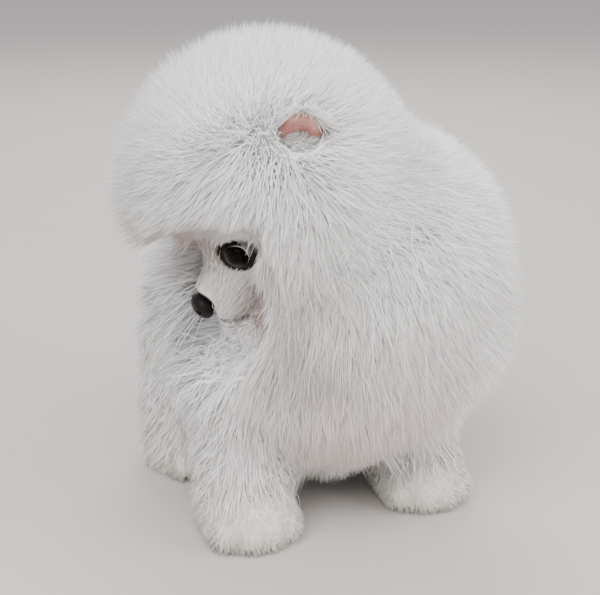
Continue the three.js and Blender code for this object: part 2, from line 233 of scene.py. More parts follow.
@dataclass
class Form:
    """The dog's forms: the skin inside and the reach of the coat outside it."""

    crown: Egg = Egg(HEAD, (-11, 0, 9), (39, 41, 41))
    crown_reach: Egg = Egg(HEAD, (-8, 0, 12), (62, 62, 62))
    cheek: Egg = Egg(HEAD, (-8, 23, -12), (17, 14, 19))
    cheek_reach: Egg = Egg(HEAD, (-10, 30, -18), (36, 31, 38))
    skull: Egg = Egg(HEAD, (0, 0, 1), (26.5, 25.5, 24.5))
    brow: Egg = Egg(HEAD, (13, 9, 10), (10, 9, 7))
    muzzle: Egg = Egg(HEAD, (22.5, 0, -13), (15, 10.6, 10))
    bridge: Egg = Egg(HEAD, (27, 0, -8.5), (11, 5.6, 5.2))
    lip: Egg = Egg(HEAD, (29, 4.3, -18.4), (8.4, 5.2, 6.4))
    jaw: Egg = Egg(HEAD, (23.5, 0, -24.6), (14, 7.4, 6))
    eye: Egg = Egg(HEAD, (17, 13.4, 2), (6.8, 6.8, 6.8))
    nose: Egg = Egg(HEAD, (39.8, 0, -13.4), (3.7, 5.8, 5.5))
    ruff: Egg = Egg(BODY, (2, 5, 114), (40, 44, 44))
    ruff_reach: Egg = Egg(BODY, (2, 6, 112), (61, 72, 60))
    chest: Egg = Egg(BODY, (-6, 3, 84), (42, 50, 42))
    chest_reach: Egg = Egg(BODY, (-4, 3, 82), (61, 82, 61))
    belly: Egg = Egg(BODY, (-20, 2, 50), (28, 20, 30))
    belly_reach: Egg = Egg(BODY, (-20, 2, 46), (40, 33, 41))
    rump: Egg = Egg(BODY, (-66, 0, 80), (42, 44, 46))
    rump_reach: Egg = Egg(BODY, (-68, 0, 76), (59, 67, 62))
    tail: Egg = Egg(BODY, (-88, 0, 134), (24, 13, 11))
    tail_reach: Egg = Egg(BODY, (-84, 0, 137), (39, 37, 28))
    window_start: tuple[float, float, float] = (31, 0, -14)
    window_end: tuple[float, float, float] = (38, 92, 18)
    window_radius: tuple[float, float] = (25, 29)
    coat_window_start: tuple[float, float, float] = (42, 0, -13.5)
    coat_window_end: tuple[float, float, float] = (51, 92, 26)
    coat_window_radius: tuple[float, float] = (30, 30)
    eye_room_end: tuple[float, float, float] = (24, 62, 21.5)
    eye_room_radius: tuple[float, float] = (7.0, 7.6)
    ear_room_start: tuple[float, float, float] = (-21.5, 36, 34.5)
    ear_room_end: tuple[float, float, float] = (-15, 84, 55.5)
    ear_room_radius: tuple[float, float] = (7.0, 8.5)
    face_room: Egg = Egg(HEAD, (38, 4, -15), (30, 34, 24))
    legs: tuple[LegPlan, ...] = (
        LegPlan("foreleg_right", (-41, -4), (-34, 0), (22, 29)),
        LegPlan("foreleg_left", (40, 5), (33, 2), (22, 29)),
        LegPlan("hindleg_right", (-39, 66), (-33, 68), (29, 33)),
        LegPlan("hindleg_left", (39, 66), (33, 68), (29, 33)),
    )
    leg_coat: float = 7.0
    wrist_height: float = 12.0
    hip_height: float = 66.0

    def openings(
        self,
        start: tuple[float, float, float],
        end: tuple[float, float, float],
        radius: tuple[float, float],
    ) -> list[Column]:
        """Two columns that open sideways from the head, one to each side.

        Args:
            start: The inner end on the left side, in the head's frame.
            end: The outer end on the left side.
            radius: The radius at each end.

        Returns:
            The columns, in the dog's frame.
        """
        made = []
        for side in (1, -1):
            inner = HEAD.at(np.array(start) * [1, side, 1])
            outer = HEAD.at(np.array(end) * [1, side, 1])
            made.append(Column(tuple(inner), tuple(outer), radius))
        return made

    def windows(self) -> list[Column]:
        """The opening in the coat's base round the muzzle and eyes."""
        return self.openings(self.window_start, self.window_end, self.window_radius)

    def window_distance(self, points: np.ndarray) -> np.ndarray:
        """Distance outside the opening of the coat's base, negative in it."""
        return np.min([room.distance(points) for room in self.windows()], axis=0)

    def sight_distance(self, points: np.ndarray) -> np.ndarray:
        """Distance outside the rooms in front of the eyes, which no hair crosses."""
        rooms = self.openings(self.eye.centre, self.eye_room_end, self.eye_room_radius)
        return np.min([room.distance(points) for room in rooms], axis=0)

    def clearing_distance(self, points: np.ndarray) -> np.ndarray:
        """Distance outside the rooms that the tips of the crown leave free: face, eyes and ears.

        Args:
            points: Places in the dog's frame.

        Returns:
            A distance for each place.
        """
        rooms = self.openings(self.coat_window_start, self.coat_window_end, self.coat_window_radius)
        rooms += self.openings(self.eye.centre, self.eye_room_end, self.eye_room_radius)
        rooms += self.openings(self.ear_room_start, self.ear_room_end, self.ear_room_radius)
        return np.min([room.distance(points) for room in rooms], axis=0)

    def leg_column(self, leg: LegPlan, inset: float) -> Column:
        """A leg's column, inset from the reach of its coat.

        Args:
            leg: The leg.
            inset: How far its surface lies inside the tips of the coat.

        Returns:
            The column.
        """
        start = (*leg.paw, self.wrist_height)
        end = (*leg.top, self.hip_height)
        return Column(start, end, (leg.fur[0] - inset, leg.fur[1] - inset))

    def paw_eggs(self, leg: LegPlan) -> list[Egg]:
        """The foot and its four toes.

        Args:
            leg: The leg that the foot is on.

        Returns:
            The foot, then each toe.
        """
        foot = Axes(np.array([*leg.paw, 0.0]), BODY.forward, BODY.left, BODY.up)
        made = [Egg(foot, (6, 0, 9.5), (22.5, 17.5, 14.5))]
        for toe in (-1.5, -0.5, 0.5, 1.5):
            back = 4.5 if abs(toe) > 1 else 0.0
            made.append(Egg(foot, (21 - back, toe * 8.0, 7), (7.2, 5.4, 6.8)))
        return made

    def face_skin(self, points: np.ndarray) -> np.ndarray:
        """Distance from the skin of the skull and muzzle.

        Args:
            points: Places in the dog's frame.

        Returns:
            A distance for each place.
        """
        d = self.skull.distance(points)
        d = blend_min(d, self.muzzle.distance(points), 7)
        d = blend_min(d, self.bridge.distance(points), 4)
        d = blend_min(d, self.jaw.distance(points), 1.2)
        for side in (False, True):
            lip = self.lip.mirrored() if side else self.lip
            brow = self.brow.mirrored() if side else self.brow
            eye = self.eye.mirrored() if side else self.eye
            d = blend_min(d, lip.distance(points), 2.0)
            d = blend_min(d, brow.distance(points), 5)
            lid = self.lid_distance(points, eye)
            d = blend_min(d, lid, 1.6)
            d = blend_max(d, -eye.distance(points, 0.1), 0.3)
        q = HEAD.to(points)
        mouth = np.exp(-(((q[:, 2] - self.lip_line(q)) / 0.8) ** 2)) * smooth_step(q[:, 0], 18, 23)
        return d + 0.9 * mouth

    def lip_line(self, q: np.ndarray) -> np.ndarray:
        """The height of the line of the mouth at places of the head."""
        return -21.6 - 0.26 * (38 - q[:, 0]) - 0.16 * np.abs(q[:, 1])

    def eye_look(self, eye: Egg) -> np.ndarray:
        """The direction that an eye looks in, as forward, left and up."""
        side = math.copysign(1.0, eye.centre[1])
        return unit(np.array([0.62, 1.0 * side, 0.16]))

    def lid_distance(self, points: np.ndarray, eye: Egg) -> np.ndarray:
        """Distance from the rim of the lids round one eye, an almond a little wider than tall.

        Args:
            points: Places in the dog's frame.
            eye: The eyeball.

        Returns:
            A distance for each place.
        """
        q = HEAD.to(points) - np.array(eye.centre)
        look = self.eye_look(eye)
        across = unit(np.cross([0.0, 0, 1], look))
        tall = np.cross(look, across)
        x, y, z = q @ across, q @ tall, q @ look
        radius = eye.radii[0] - 0.4
        ring = np.sqrt((x / 1.16) ** 2 + (y / 0.86) ** 2)
        return np.sqrt((ring - radius * 0.93) ** 2 + (z - radius * 0.40) ** 2) - 1.0

    def skin(self, points: np.ndarray) -> np.ndarray:
        """Distance from the whole skin.

        Args:
            points: Places in the dog's frame.

        Returns:
            A distance for each place.
        """
        coat_base = self.crown.distance(points)
        for cheek in (self.cheek, self.cheek.mirrored()):
            coat_base = blend_min(coat_base, cheek.distance(points), 8)
        coat_base = blend_max(coat_base, -self.window_distance(points), 5)
        trunk = blend_min(self.ruff.distance(points), self.chest.distance(points), 10)
        trunk = blend_min(trunk, self.belly.distance(points), 10)
        trunk = blend_min(trunk, self.rump.distance(points), 14)
        trunk = blend_min(trunk, self.tail.distance(points), 8)
        for leg in self.legs:
            trunk = blend_min(trunk, self.leg_column(leg, self.leg_coat).distance(points), 8)
        trunk = blend_max(trunk, -self.face_room.distance(points), 6)
        for leg in self.legs:
            for egg in self.paw_eggs(leg):
                trunk = blend_min(trunk, egg.distance(points), 1.8)
        d = blend_min(coat_base, trunk, 5)
        return blend_min(d, self.face_skin(points), 4)

    def reach(self, points: np.ndarray) -> np.ndarray:
        """Distance from the surface that the tips of the coat reach.

        Args:
            points: Places in the dog's frame.

        Returns:
            A distance for each place.
        """
        crown = self.crown_reach.distance(points)
        for cheek in (self.cheek_reach, self.cheek_reach.mirrored()):
            crown = blend_min(crown, cheek.distance(points), 10)
        crown = np.maximum(crown, -self.clearing_distance(points))
        trunk = blend_min(self.ruff_reach.distance(points), self.chest_reach.distance(points), 10)
        trunk = blend_min(trunk, self.belly_reach.distance(points), 8)
        trunk = blend_min(trunk, self.rump_reach.distance(points), 12)
        trunk = blend_min(trunk, self.tail_reach.distance(points), 6)
        for leg in self.legs:
            trunk = blend_min(trunk, self.leg_column(leg, 0).distance(points), 6)
        trunk = np.maximum(trunk, -self.face_room.distance(points, -1.0))
        for leg in self.legs:
            for egg in self.paw_eggs(leg):
                trunk = np.minimum(trunk, egg.distance(points, 4.0))
        short = 1.1 + 3.4 * smooth_step(-HEAD.to(points)[:, 0], -34, -6)
        return np.minimum(np.minimum(crown, trunk), self.face_skin(points) - short)


FORM = Form()


def place_of_model() -> np.ndarray:
    """Where the dog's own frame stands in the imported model, in metres.

    Returns:
        The shift between the two.
    """
    low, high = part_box("eye_left")
    found = (np.array(low) + np.array(high)) / 2
    return found - HEAD.at(FORM.eye.centre) * MM


SHIFT = place_of_model()


def metres(points: np.ndarray) -> np.ndarray:
    """Millimetres of the dog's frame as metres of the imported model's."""
    return np.asarray(points) * MM + SHIFT


def linear(code: str) -> np.ndarray:
    """An sRGB hex colour as linear red, green and blue."""
    value = np.array([int(code[i : i + 2], 16) for i in (1, 3, 5)]) / 255
    return np.where(value <= 0.04045, value / 12.92, ((value + 0.055) / 1.055) ** 2.4)


# Colours of the animal, with a painted pink bounce light and one brown for both tear stain and painted
# shade.
WHITE = linear("#faf8f5")
CREAM = linear("#f8f1e3")
PAINTED_BOUNCE_PINK = linear("#efc9bd")
STAIN_AND_PAINTED_SHADE = linear("#7d4a36")
DARK_SKIN = linear("#1c100e")


def mix(base: np.ndarray, tint: np.ndarray, amount: np.ndarray) -> np.ndarray:
    """Colours base turned towards tint by amount, from 0 to 1."""
    a = np.clip(amount, 0, 1)[:, None]
    return base * (1 - a) + tint * a


def coat_colours_and_painted_light(points: np.ndarray) -> np.ndarray:
    """The coat's colours with painted pink bounce light and painted shade, which skin and tufts share.

    Args:
        points: Places on the skin, in the dog's frame.

    Returns:
        Linear colours, one row for each place.
    """
    colour = np.tile(WHITE, (len(points), 1))
    low = smooth_step(-points[:, 2], -38, -6)
    colour = mix(colour, CREAM, 0.75 * low)
    # Painted pink bounce light on the chest.
    bib = Egg(BODY, (40, 4, 58), (46, 44, 40)).distance(points)
    colour = mix(colour, PAINTED_BOUNCE_PINK, 0.30 * smooth_step(-bib, -6, 16))
    q = HEAD.to(points)
    q = np.stack([q[:, 0], np.abs(q[:, 1]), q[:, 2]], axis=1)

    def near(centre: tuple[float, float, float], inner: float, outer: float) -> np.ndarray:
        """1 within inner of a place of the head, 0 beyond outer."""
        return 1 - smooth_step(np.linalg.norm(q - np.array(centre), axis=1), inner, outer)

    # Painted warm pink bounce light from below on the cheek, painted pink shade under the visor, and a
    # creamy bridge of the nose.
    colour = mix(colour, PAINTED_BOUNCE_PINK, 0.45 * near((20, 16, -24), 4, 18))
    colour = mix(colour, PAINTED_BOUNCE_PINK, 0.55 * near((30, 0, 14), 6, 22))
    colour = mix(colour, CREAM, 0.35 * near((28, 0, -8), 4, 14))
    # Painted brown shade on the hair under the chin, under the visor's edge and behind the corner of
    # the mouth.
    chin = Column((-44, -24, 92), (-22, -44, 92), (7, 9)).distance(points)
    colour = mix(colour, STAIN_AND_PAINTED_SHADE, 0.30 * (1 - smooth_step(chin, 0, 13)))
    colour = mix(colour, STAIN_AND_PAINTED_SHADE, 0.30 * near((34, 11, 9), 4, 15))
    colour = mix(colour, STAIN_AND_PAINTED_SHADE, 0.45 * near((26, 13, -28), 1.5, 8.0))
    # The inner and outer corner of the eye, the tear line below it, and the edge of the lips.
    colour = mix(colour, DARK_SKIN, 0.85 * near((23.0, 12.5, 5.5), 1.5, 4.2))
    colour = mix(colour, DARK_SKIN, 0.85 * near((9.6, 19.0, 2.4), 0.8, 2.8))
    colour = mix(colour, STAIN_AND_PAINTED_SHADE, 0.55 * near((24.5, 10.0, 0.5), 1.5, 5.0))
    lip = np.abs(q[:, 2] - FORM.lip_line(q)) + 2.2 * smooth_step(-q[:, 0], -31, -24)
    colour = mix(colour, DARK_SKIN, 0.62 * (1 - smooth_step(lip, 0.8, 2.6)) * (q[:, 0] > 18))
    return colour


def shade(angle: float) -> None:
    """Smooth shading on the selected object, with edges past the angle kept."""
    bpy.ops.object.shade_smooth_by_angle(angle=math.radians(angle))


def deselect() -> None:
    """Nothing selected."""
    for piece in bpy.context.view_layer.objects:
        piece.select_set(False)


def choose(piece: bpy.types.Object) -> None:
    """Only this piece selected and active.

    Args:
        piece: The object.
    """
    deselect()
    piece.select_set(True)
    bpy.context.view_layer.objects.active = piece


def coordinates(piece: bpy.types.Object) -> np.ndarray:
    """The piece's vertices as rows.

    Args:
        piece: A mesh object.

    Returns:
        Its vertices, in its own frame.
    """
    flat = np.empty(len(piece.data.vertices) * 3)
    piece.data.vertices.foreach_get("co", flat)
    return flat.reshape(-1, 3)


def set_coordinates(piece: bpy.types.Object, points: np.ndarray) -> None:
    """Moves the piece's vertices."""
    piece.data.vertices.foreach_set("co", np.ascontiguousarray(points, dtype=np.float32).ravel())
    piece.data.update()


def apply_place(piece: bpy.types.Object) -> None:
    """Puts the object's own place, turn and size into its mesh."""
    choose(piece)
    bpy.ops.object.transform_apply(location=True, rotation=True, scale=True)


def add_egg(name: str, egg: Egg, segments: int = 32, shrink: float = 0.0) -> bpy.types.Object:
    """An ellipsoid at its size and place, in millimetres of the dog's frame.

    Args:
        name: The object's name.
        egg: The ellipsoid.
        segments: Sides round its axis.
        shrink: How much smaller each radius is.

    Returns:
        The new object.
    """
    deselect()
    bpy.ops.mesh.primitive_uv_sphere_add(segments=segments, ring_count=segments // 2, radius=1)
    piece = bpy.context.active_object
    piece.name = name
    r = np.array(egg.radii) - shrink
    turn = Matrix([list(col) for col in egg.axes.rows.T]).to_4x4()
    size = Matrix.Diagonal((*r, 1.0))
    piece.matrix_world = Matrix.Translation(Vector(egg.axes.at(egg.centre))) @ turn @ size
    apply_place(piece)
    return piece


def add_column(name: str, column: Column, sides: int = 24) -> bpy.types.Object:
    """A tapered column at its size and place, in millimetres of the dog's frame.

    Args:
        name: The object's name.
        column: The column.
        sides: Sides round its axis.

    Returns:
        The new object.
    """
    deselect()
    a, b = Vector(column.start), Vector(column.end)
    length = (b - a).length
    bpy.ops.mesh.primitive_cone_add(
        vertices=sides, radius1=column.radius[0], radius2=column.radius[1], depth=length
    )
    piece = bpy.context.active_object
    piece.name = name
    turn = (b - a).to_track_quat("Z", "Y").to_matrix().to_4x4()
    piece.matrix_world = Matrix.Translation((a + b) / 2) @ turn
    apply_place(piece)
    return piece


def add_modifier(piece: bpy.types.Object, kind: str, **settings: object) -> None:
    """Adds a modifier with its settings and applies it.

    Args:
        piece: The object.
        kind: The modifier's type name.
        settings: Properties of the modifier.
    """
    choose(piece)
    modifier = piece.modifiers.new(kind.title(), kind)
    for key, value in settings.items():
        setattr(modifier, key, value)
    bpy.ops.object.modifier_apply(modifier=modifier.name)


def join(pieces: list[bpy.types.Object], name: str) -> bpy.types.Object:
    """Joins objects into one mesh.

    Args:
        pieces: The objects, which are used up.
        name: The name of the whole.

    Returns:
        The joined object.
    """
    choose(pieces[0])
    for piece in pieces:
        piece.select_set(True)
    bpy.ops.object.join()
    joined = bpy.context.active_object
    joined.name = name
    joined.data.name = name
    return joined


def add_node(
    tree: bpy.types.NodeTree, kind: str, links: dict | None = None, **settings: object
) -> bpy.types.Node:
    """Adds a node, with its settings, its values and its links.

    Args:
        tree: The node tree.
        kind: The node's type name.
        links: Input name or index to a value, or to an output socket that it is linked from.
        settings: Properties of the node.

    Returns:
        The new node.
    """
    node = tree.nodes.new(kind)
    for key, value in settings.items():
        setattr(node, key, value)
    for key, value in (links or {}).items():
        if isinstance(value, bpy.types.NodeSocket):
            tree.links.new(value, node.inputs[key])
        else:
            node.inputs[key].default_value = value
    return node


def start_material(name: str) -> tuple[bpy.types.Material, bpy.types.NodeTree, bpy.types.Node]:
    """A material with only its shader and output.

    Args:
        name: The material's name.

    Returns:
        The material, its node tree and its shader.
    """
    material = bpy.data.materials.new(name)
    material.use_nodes = True
    tree = material.node_tree
    tree.nodes.clear()
    shader = add_node(tree, "ShaderNodeBsdfPrincipled")
    output = add_node(tree, "ShaderNodeOutputMaterial")
    tree.links.new(shader.outputs["BSDF"], output.inputs["Surface"])
    return material, tree, shader


@dataclass(frozen=True)
class PuppyHair:
    """Soft puppy hair: dull keratin, nearly white, with the markings' colour, painted bounce light and
    painted shade in each tuft.
    """

    name: str = "puppy_hair"
    roughness: float = 0.8
    sheen: float = 0.2
    patch: float = 9.0

    def make(self) -> bpy.types.Material:
        """The hair's material.

        Returns:
            The material.
        """
        material, tree, shader = start_material(self.name)
        # Fine hair scatters light many times, so it looks even and soft, with only a weak gloss.
        paint = add_node(tree, "ShaderNodeAttribute", attribute_name="CoatColourAndPaintedLight")
        where = add_node(tree, "ShaderNodeTexCoord")
        uneven = add_node(
            tree,
            "ShaderNodeTexNoise",
            {"Vector": where.outputs["Object"], "Scale": 1 / (self.patch * MM), "Detail": 3.0},
        )
        depth = add_node(
            tree, "ShaderNodeMapRange", {"Value": uneven.outputs["Fac"], "To Min": 0.93, "To Max": 1.0}
        )
        colour = add_node(
            tree,
            "ShaderNodeVectorMath",
            {0: paint.outputs["Color"]},
            operation="SCALE",
        )
        tree.links.new(depth.outputs["Result"], colour.inputs["Scale"])
        tree.links.new(colour.outputs["Vector"], shader.inputs["Base Color"])
        shader.inputs["Roughness"].default_value = self.roughness
        shader.inputs["IOR"].default_value = 1.45
        shader.inputs["Specular IOR Level"].default_value = 0.16
        shader.inputs["Sheen Weight"].default_value = self.sheen
        shader.inputs["Sheen Roughness"].default_value = 0.5
        return material


@dataclass(frozen=True)
class CoatedSkin:
    """Skin under a dense undercoat: the hair's colours over a fine, matted surface."""

    name: str = "coated_skin"
    stroke: float = 1.1
    relief: float = 0.4

    def make(self) -> bpy.types.Material:
        """The skin's material.

        Returns:
            The material.
        """
        material, tree, shader = start_material(self.name)
        # Short hair over skin reads as fine strokes of about a millimetre, matt all over.
        paint = add_node(tree, "ShaderNodeAttribute", attribute_name="CoatColourAndPaintedLight")
        where = add_node(tree, "ShaderNodeTexCoord")
        strokes = add_node(
            tree,
            "ShaderNodeTexNoise",
            {
                "Vector": where.outputs["Object"],
                "Scale": 1 / (self.stroke * MM),
                "Detail": 4.0,
                "Roughness": 0.7,
            },
        )
        depth = add_node(
            tree, "ShaderNodeMapRange", {"Value": strokes.outputs["Fac"], "To Min": 0.82, "To Max": 1.0}
        )
        colour = add_node(tree, "ShaderNodeVectorMath", {0: paint.outputs["Color"]}, operation="SCALE")
        tree.links.new(depth.outputs["Result"], colour.inputs["Scale"])
        bump = add_node(
            tree,
            "ShaderNodeBump",
            {"Height": strokes.outputs["Fac"], "Strength": 0.5, "Distance": self.relief * MM},
        )
        tree.links.new(colour.outputs["Vector"], shader.inputs["Base Color"])
        tree.links.new(bump.outputs["Normal"], shader.inputs["Normal"])
        shader.inputs["Roughness"].default_value = 0.75
        shader.inputs["Specular IOR Level"].default_value = 0.25
        return material


@dataclass(frozen=True)
class WetEye:
    """A puppy's eye: a dark brown iris and black pupil under a clear wet cornea."""

    name: str
    centre: tuple[float, float, float]
    look: tuple[float, float, float]

    def make(self) -> bpy.types.Material:
        """The eye's material.

        Returns:
            The material.
        """
        material, tree, shader = start_material(self.name)
        # The wet film gives one sharp highlight; the iris is only a little lighter than the pupil.
        where = add_node(tree, "ShaderNodeTexCoord")
        maths = "ShaderNodeVectorMath"
        ends = {0: where.outputs["Object"], 1: self.centre}
        away = add_node(tree, maths, ends, operation="SUBTRACT")
        facing = add_node(tree, maths, {0: away.outputs["Vector"]}, operation="NORMALIZE")
        ways = {0: facing.outputs["Vector"], 1: self.look}
        along = add_node(tree, maths, ways, operation="DOT_PRODUCT")
        ramp = add_node(tree, "ShaderNodeValToRGB", {"Fac": along.outputs["Value"]})
        ramp.color_ramp.elements[0].position = 0.50
        ramp.color_ramp.elements[0].color = (*linear("#150c0a"), 1)
        ramp.color_ramp.elements[1].position = 0.93
        ramp.color_ramp.elements[1].color = (*linear("#050303"), 1)
        for position, code in ((0.58, "#0e0705"), (0.66, "#1c0d06"), (0.86, "#180b06")):
            element = ramp.color_ramp.elements.new(position)
            element.color = (*linear(code), 1)
        tree.links.new(ramp.outputs["Color"], shader.inputs["Base Color"])
        shader.inputs["Roughness"].default_value = 0.06
        shader.inputs["IOR"].default_value = 1.34
        shader.inputs["Specular IOR Level"].default_value = 0.16
        return material


@dataclass(frozen=True)
class NoseLeather:
    """The bare leather of a nose: nearly black, damp, with a fine pebbled grain."""

    name: str = "nose_leather"
    pebble: float = 0.7
    relief: float = 0.15

    def make(self) -> bpy.types.Material:
        """The nose's material.

        Returns:
            The material.
        """
        material, tree, shader = start_material(self.name)
        # Each pebble is about half a millimetre on a puppy and is drawn a little coarser to show.
        where = add_node(tree, "ShaderNodeTexCoord")
        pebbles = add_node(
            tree,
            "ShaderNodeTexVoronoi",
            {"Vector": where.outputs["Object"], "Scale": 1 / (self.pebble * MM)},
        )
        tone = add_node(tree, "ShaderNodeValToRGB", {"Fac": pebbles.outputs["Distance"]})
        tone.color_ramp.elements[0].color = (*linear("#15100f"), 1)
        tone.color_ramp.elements[1].color = (*linear("#070404"), 1)
        bump = add_node(
            tree,
            "ShaderNodeBump",
            {"Height": pebbles.outputs["Distance"], "Strength": 0.6, "Distance": self.relief * MM},
            invert=True,
        )
        tree.links.new(tone.outputs["Color"], shader.inputs["Base Color"])
        tree.links.new(bump.outputs["Normal"], shader.inputs["Normal"])
        shader.inputs["Roughness"].default_value = 0.48
        shader.inputs["Specular IOR Level"].default_value = 0.2
        return material


@dataclass(frozen=True)
class EarSkin:
    """The thin pink skin inside an ear."""

    name: str = "ear_skin"
    blotch: float = 4.0

    def make(self) -> bpy.types.Material:
        """The ear's material.

        Returns:
            The material.
        """
        material, tree, shader = start_material(self.name)
        # Thin skin with blood under it: pink, uneven over a few millimetres, with a soft gloss.
        where = add_node(tree, "ShaderNodeTexCoord")
        uneven = add_node(
            tree,
            "ShaderNodeTexNoise",
            {"Vector": where.outputs["Object"], "Scale": 1 / (self.blotch * MM), "Detail": 3.0},
        )
        tone = add_node(tree, "ShaderNodeValToRGB", {"Fac": uneven.outputs["Fac"]})
        tone.color_ramp.elements[0].position = 0.35
        tone.color_ramp.elements[0].color = (*linear("#b9776f"), 1)
        tone.color_ramp.elements[1].position = 0.7
        tone.color_ramp.elements[1].color = (*linear("#d9a196"), 1)
        tree.links.new(tone.outputs["Color"], shader.inputs["Base Color"])
        shader.inputs["Roughness"].default_value = 0.55
        shader.inputs["Subsurface Weight"].default_value = 0.15
        shader.inputs["Subsurface Radius"].default_value = (2 * MM, 0.8 * MM, 0.5 * MM)
        return material


def paint(piece: bpy.types.Object, colours: np.ndarray) -> None:
    """Stores a colour for each vertex, which the hair and skin materials read.

    Args:
        piece: The object.
        colours: Linear colours, one row for each vertex.
    """
    layer = piece.data.color_attributes.new("CoatColourAndPaintedLight", "FLOAT_COLOR", "POINT")
    full = np.ones((len(colours), 4), dtype=np.float32)
    full[:, :3] = colours
    layer.data.foreach_set("color", full.ravel())


def dress(piece: bpy.types.Object, material: bpy.types.Material) -> None:
    """Gives a finished piece its material and its place on the body.

    Args:
        piece: The object.
        material: Its material.
    """
    piece.data.materials.clear()
    piece.data.materials.append(material)
    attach(piece, "root")
    triangles = sum(len(p.vertices) - 2 for p in piece.data.polygons)
    LOG.info("%s: %d triangles", piece.name, triangles)


@dataclass
class Skin:
    """The one skin, from nose to tail, which the coat grows from."""

    voxel: float = 1.5
    probe: float = 0.2
    stride: float = 1.2
    ease: float = 0.8
    piece: bpy.types.Object | None = None

    def build(self) -> None:
        """Models the skin from eggs and columns, fuses it and draws it to its exact form."""
        crown = add_egg("crown", FORM.crown, 48)
        for n, window in enumerate(FORM.windows()):
            cutter = add_column("window_%d" % n, window)
            choose(crown)
            add_modifier(crown, "BOOLEAN", operation="DIFFERENCE", object=cutter, solver="EXACT")
            bpy.data.objects.remove(cutter)
        eggs = [FORM.skull, FORM.muzzle, FORM.bridge, FORM.jaw]
        eggs += [FORM.ruff, FORM.chest, FORM.belly, FORM.rump, FORM.tail]
        for egg in (FORM.lip, FORM.brow, FORM.cheek):
            eggs += [egg, egg.mirrored()]
        pieces = [crown]
        for leg in FORM.legs:
            pieces.append(add_column(leg.name, FORM.leg_column(leg, FORM.leg_coat)))
            eggs += FORM.paw_eggs(leg)
        pieces += [add_egg("form", egg) for egg in eggs]
        skin = join(pieces, "skin")
        add_modifier(skin, "REMESH", mode="VOXEL", voxel_size=self.voxel)
        add_modifier(skin, "SMOOTH", factor=0.5, iterations=4)
        self.draw_to_form(skin, 6)
        self.refine_face(skin)
        self.draw_to_form(skin, 3)
        points = coordinates(skin)
        points[:, 2] = np.maximum(points[:, 2], 0.0)
        set_coordinates(skin, points)
        self.unwrap(skin)
        self.piece = skin

    def draw_to_form(self, skin: bpy.types.Object, rounds: int) -> None:
        """Draws each vertex towards the exact surface, in small steps.

        Args:
            skin: The skin.
            rounds: How many steps.
        """
        points = coordinates(skin)
        for _ in range(rounds):
            distance = FORM.skin(points)
            steps = np.eye(3) * self.probe
            rises = [(FORM.skin(points + step) - distance) / self.probe for step in steps]
            slope = np.stack(rises, axis=1)
            move = np.clip(distance, -self.stride, self.stride)[:, None] * unit(slope)
            points = points - self.ease * move
        set_coordinates(skin, points)

    def refine_face(self, skin: bpy.types.Object) -> None:
        """Subdivides the faces round the muzzle and eyes, where detail shows.

        Args:
            skin: The skin.
        """
        points = coordinates(skin)
        q = HEAD.to(points)
        inside = (q[:, 0] > 6) & (np.abs(q[:, 1]) < 24) & (q[:, 2] > -32) & (q[:, 2] < 12)
        choose(skin)
        bpy.ops.object.mode_set(mode="EDIT")
        bpy.ops.mesh.select_mode(type="VERT")
        bpy.ops.mesh.select_all(action="DESELECT")
        bpy.ops.object.mode_set(mode="OBJECT")
        skin.data.vertices.foreach_set("select", inside)
        bpy.ops.object.mode_set(mode="EDIT")
        bpy.ops.mesh.subdivide(number_cuts=2, smoothness=0.0)
        bpy.ops.object.mode_set(mode="OBJECT")

    def unwrap(self, skin: bpy.types.Object) -> None:
        """Unwraps the skin's own shape, for the tufts' places on it.

        Args:
            skin: The skin.
        """
        choose(skin)
        bpy.ops.object.mode_set(mode="EDIT")
        bpy.ops.mesh.select_all(action="SELECT")
        bpy.ops.uv.smart_project(angle_limit=math.radians(66), island_margin=0.002)
        bpy.ops.object.mode_set(mode="OBJECT")
        skin.data.uv_layers[0].name = "SkinUnwrap"

    def finish(self, material: bpy.types.Material) -> None:
        """Paints the skin, moves it to its place in metres and gives it its material and place on the
        body.

        Args:
            material: The skin's material.
        """
        points = coordinates(self.piece)
        colours = coat_colours_and_painted_light(points) * 0.93
        q = HEAD.to(points)
        for eye in (FORM.eye, FORM.eye.mirrored()):
            rim = FORM.lid_distance(points, eye)
            colours = mix(colours, DARK_SKIN, 1 - smooth_step(rim, 1.6, 3.0))
        colours = mix(colours, DARK_SKIN, self.mouth(q))
        socket = FORM.nose.distance(points, 0.8)
        colours = mix(colours, DARK_SKIN, 1 - smooth_step(socket, 0.0, 1.2))
        paint(self.piece, colours)
        set_coordinates(self.piece, metres(points))
        choose(self.piece)
        bpy.ops.object.shade_smooth()
        dress(self.piece, material)
        flesh = ["head", "neck", "torso", "tail"]
        flesh += [leg.name for leg in FORM.legs] + [leg.name.replace("leg", "paw") for leg in FORM.legs]
        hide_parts(*flesh)

    def mouth(self, q: np.ndarray) -> np.ndarray:
        """How dark the line of the mouth is at places of the head.

        Args:
            q: Places, along the head's forward, left and up.

        Returns:
            Amounts from 0 to 1.
        """
        across = np.abs(q[:, 1])
        height = FORM.lip_line(q)
        line = np.abs(q[:, 2] - height)
        reach = smooth_step(q[:, 0], 17, 22)
        front = smooth_step(q[:, 0], 33, 36) * (1 - smooth_step(across, 0.4, 1.2))
        groove = front * smooth_step(q[:, 2], -24, -22) * (1 - smooth_step(q[:, 2], -19, -17))
        return np.maximum((1 - smooth_step(line, 0.5, 1.4)) * reach, groove)


@dataclass(frozen=True)
class Growth:
    """How one zone's tufts grow: their lengths and width, and how far they lie back and down."""

    longest: float = 46.0
    shortest: float = 3.0
    width: float = 0.62
    back: float = 0.0
    down: float = 0.0


